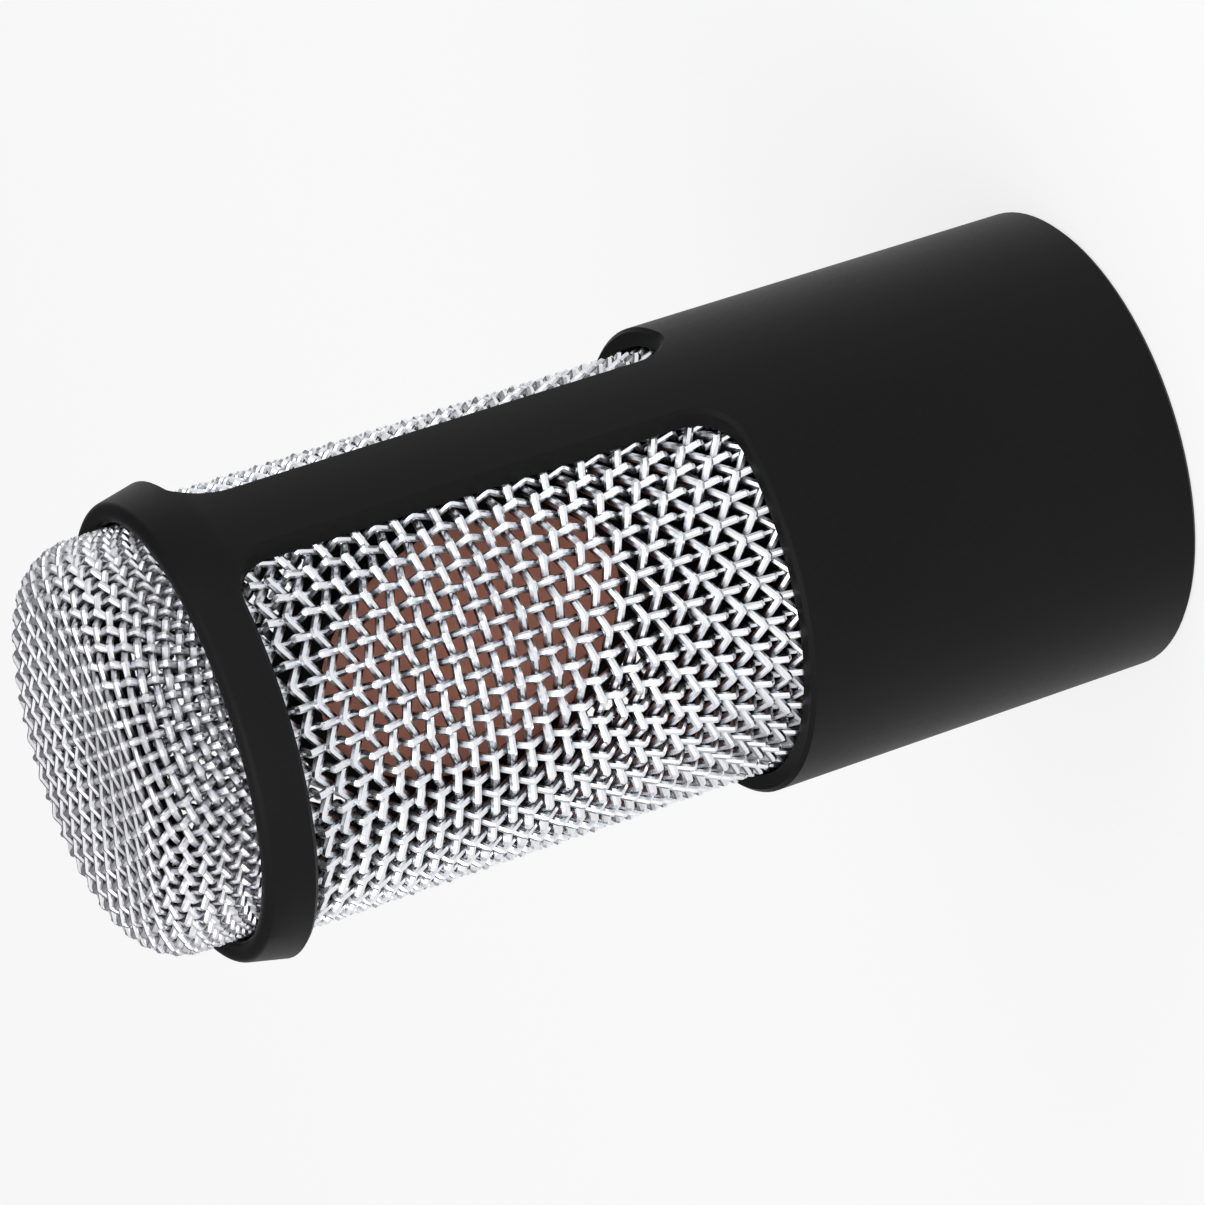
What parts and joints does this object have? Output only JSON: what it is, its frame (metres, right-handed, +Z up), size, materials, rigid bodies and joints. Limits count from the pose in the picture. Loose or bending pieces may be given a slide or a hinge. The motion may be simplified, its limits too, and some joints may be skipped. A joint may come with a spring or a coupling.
{
  "type": "studio condenser microphone",
  "caption": "Side-address studio condenser microphone: black windowed tube housing over a woven wire grille, domed mesh top, round capsule inside and a locking ring under the base.",
  "frame": {"origin": "centre of the base's underside", "axes": "+Z up the body to the dome, -Y the way the capsule's front faces, X across the two ribs"},
  "size_m": [0.048, 0.048, 0.1096],
  "materials": {
    "black_housing": "satin black powder coat on turned aluminium",
    "mesh_steel": "bright polished woven steel wire",
    "black_metal": "matt black oxide",
    "turned_aluminium": "turned, bead-blasted, clear anodised",
    "black_aluminium": "turned, black anodised",
    "rail_aluminium": "milled, as cut",
    "spring_steel": "stamped spring steel",
    "nickel_shell": "satin nickel plate on die-cast zinc",
    "screw_steel": "zinc plated",
    "black_insert": "moulded glass-filled nylon",
    "contact_gold": "gold plated brass",
    "board_laminate": "green solder mask on glass epoxy",
    "transformer_core": "varnished laminations",
    "film_capacitor": "dipped epoxy",
    "can_sleeve": "shrink sleeve on an aluminium can",
    "transistor_case": "moulded epoxy",
    "lead_sleeve": "polymer insulated hook-up wire",
    "bushing_white": "turned fluoropolymer",
    "isolator_rubber": "moulded soft rubber",
    "black_holder": "moulded black polymer, fine grain",
    "capsule_face": "brown metallised polymer film, fine grain",
    "backplate_brass": "lapped"
  },
  "bodies": {
    "chassis": {"base_body": "turned_aluminium", "ring_clip": "spring_steel", "connector_shell": "nickel_shell", "connector_insert": "black_insert", "contact_1": "contact_gold", "contact_2": "contact_gold", "contact_3": "contact_gold", "base_screw_left": "screw_steel", "base_screw_right": "screw_steel", "rail_left": "rail_aluminium", "rail_right": "rail_aluminium", "circuit_board": "board_laminate", "board_screw_left": "screw_steel", "board_screw_right": "screw_steel", "output_transformer": "transformer_core", "coupling_capacitor": "film_capacitor", "filter_capacitor": "can_sleeve", "input_transistor": "transistor_case", "contact_lead_1": "lead_sleeve", "contact_lead_2": "lead_sleeve", "contact_lead_3": "lead_sleeve", "deck_plate": "black_metal", "deck_screw_left": "screw_steel", "deck_screw_right": "screw_steel", "deck_bushing": "bushing_white", "isolator_left": "isolator_rubber", "isolator_right": "isolator_rubber", "holder_screw_left": "screw_steel", "holder_screw_right": "screw_steel", "capsule_holder": "black_holder", "spacer_front": "bushing_white", "spacer_rear": "bushing_white", "diaphragm_front": "capsule_face", "diaphragm_rear": "capsule_face", "clamp_ring_front": "black_metal", "clamp_ring_rear": "black_metal", "backplate_front": "backplate_brass", "backplate_rear": "backplate_brass", "centre_insulator": "black_holder", "capsule_lead_front": "lead_sleeve", "capsule_lead_rear": "lead_sleeve"},
    "sleeve": {"housing_sleeve": "black_housing", "side_mesh": "mesh_steel", "dome_mesh": "mesh_steel", "dome_retainer": "black_metal", "mesh_seat_ring": "black_metal"},
    "lock_ring": {"lock_ring": "black_aluminium"}
  },
  "joints": [
    {"name": "sleeve_lift", "type": "slide", "parent": "chassis", "child": "sleeve", "axis": [0, 0, 1], "range_m": [0, 0.1]},
    {"name": "ring_turn", "type": "hinge", "parent": "chassis", "child": "lock_ring", "pos_m": [0, 0, 0.0019], "axis": [0, 0, 1], "continuous": true}
  ]
}
